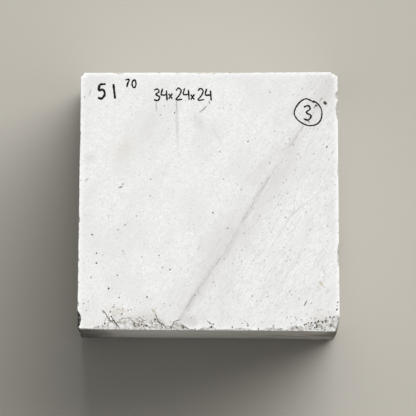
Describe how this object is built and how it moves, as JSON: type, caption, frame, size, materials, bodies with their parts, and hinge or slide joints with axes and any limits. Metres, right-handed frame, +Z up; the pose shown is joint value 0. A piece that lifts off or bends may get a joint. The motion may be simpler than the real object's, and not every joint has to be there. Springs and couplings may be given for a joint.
{
  "type": "marble block",
  "caption": "Sawn block of white marble standing on one square end, with chipped edges and broken corners, for carving or as a plinth.",
  "frame": {"origin": "middle of the base, on the floor that the block stands on", "axes": "+Z up along the block's length, +X right, -Y towards the front, whose upper edge is the most chipped"},
  "size_m": [0.2392, 0.2362, 0.343],
  "materials": {
    "marble": "matte"
  },
  "bodies": {
    "root": {"marble_block": "marble"}
  },
  "joints": []
}
